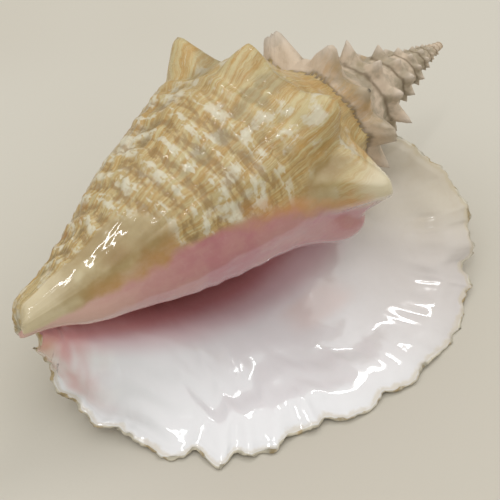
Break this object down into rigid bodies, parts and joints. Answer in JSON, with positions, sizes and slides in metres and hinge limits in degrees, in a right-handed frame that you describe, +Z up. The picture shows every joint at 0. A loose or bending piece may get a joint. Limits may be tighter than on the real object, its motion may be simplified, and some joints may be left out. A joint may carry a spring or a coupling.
{
  "type": "queen conch shell",
  "caption": "Large spired sea snail shell with blunt shoulder spikes, a short siphonal canal and a broad, flared, glossy pink-white lip, lying aperture up.",
  "frame": {"origin": "bottom centre of the bounding box, on the surface the shell rests on", "axes": "+X along the coil axis towards the apex, +Z up with the aperture facing up, -Y towards the rim of the flared lip"},
  "size_m": [0.2288, 0.1486, 0.1116],
  "materials": {
    "shell": "glossy pink and white porcelain-like lip, tan and cream streaked outside"
  },
  "bodies": {
    "root": {"conch_shell": "shell"}
  },
  "joints": []
}
